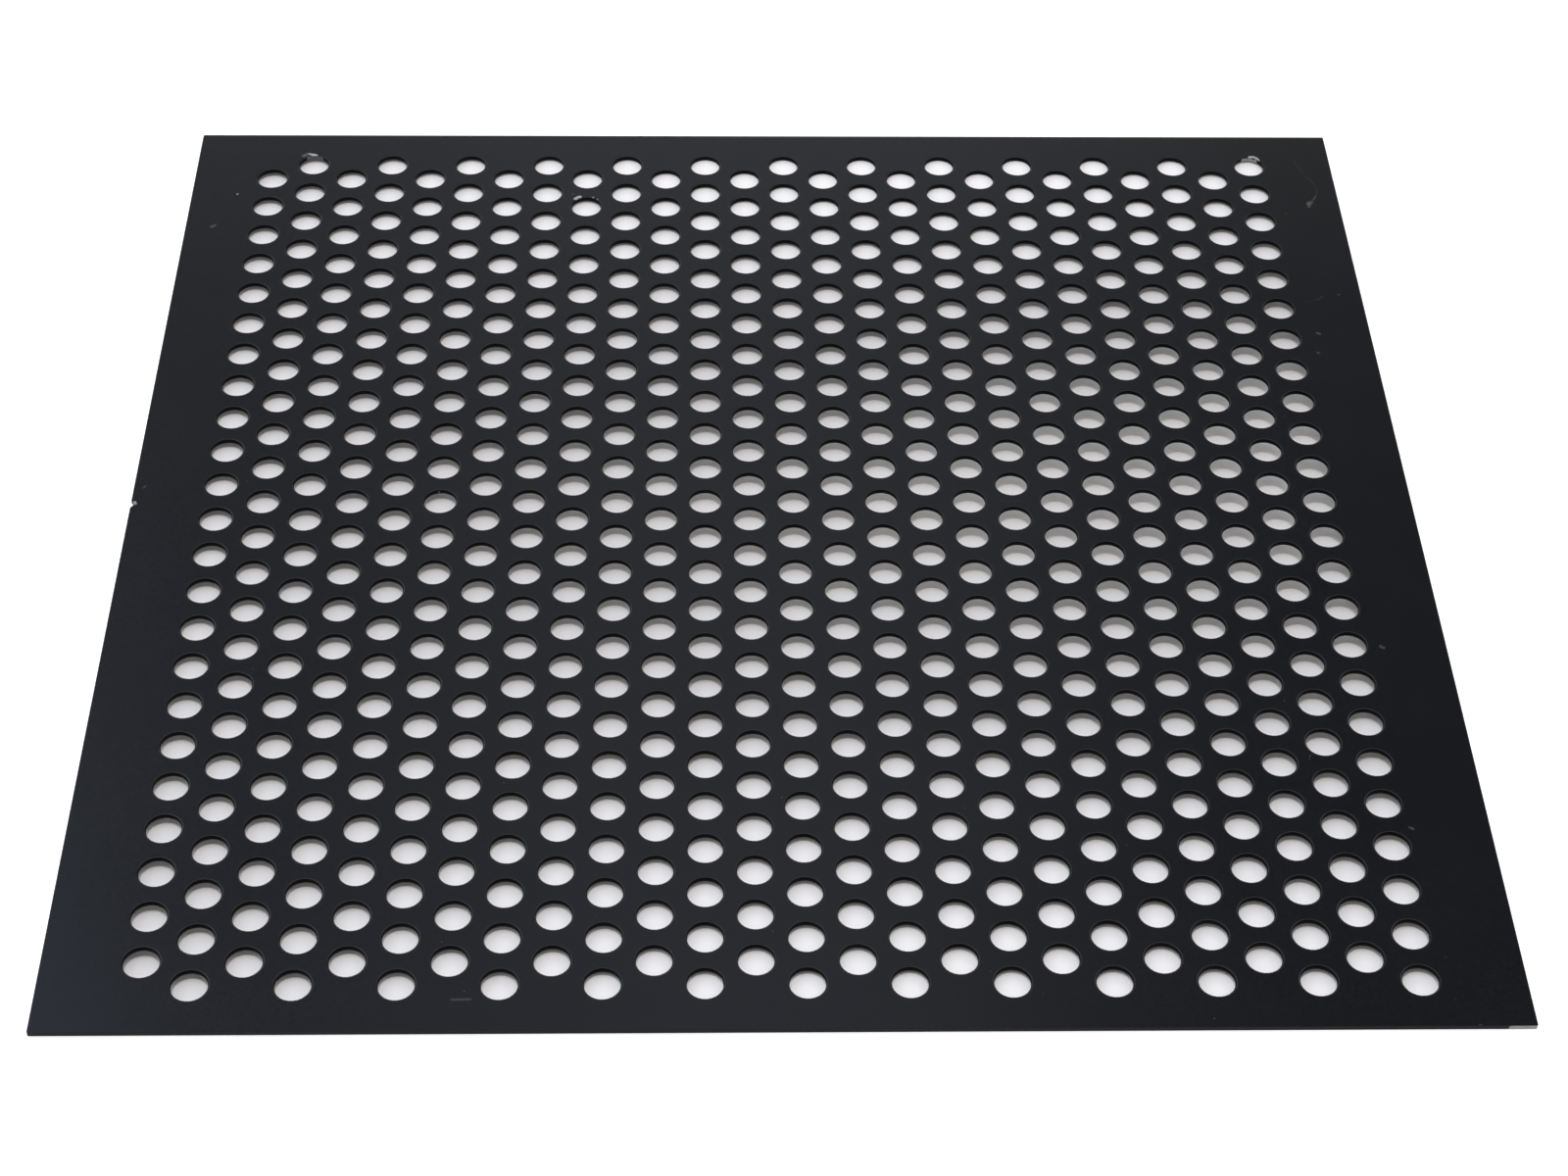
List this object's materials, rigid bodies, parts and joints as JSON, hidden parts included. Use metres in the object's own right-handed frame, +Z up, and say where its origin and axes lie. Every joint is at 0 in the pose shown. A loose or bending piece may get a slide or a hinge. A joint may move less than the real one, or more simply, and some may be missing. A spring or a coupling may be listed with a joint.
{
  "type": "perforated metal sheet",
  "caption": "Flat square sheet of thin black coated steel, punched all over with round holes in a staggered 60 degree pattern inside a plain border.",
  "frame": {"origin": "centre of the underside, the face that the sheet lies on", "axes": "+Z up, out of the punched face; X across the columns of holes; Y along the columns of holes"},
  "size_m": [0.302, 0.301, 0.0011],
  "materials": {
    "black_coat": "satin"
  },
  "bodies": {
    "root": {"perforated_sheet": "black_coat"}
  },
  "joints": []
}
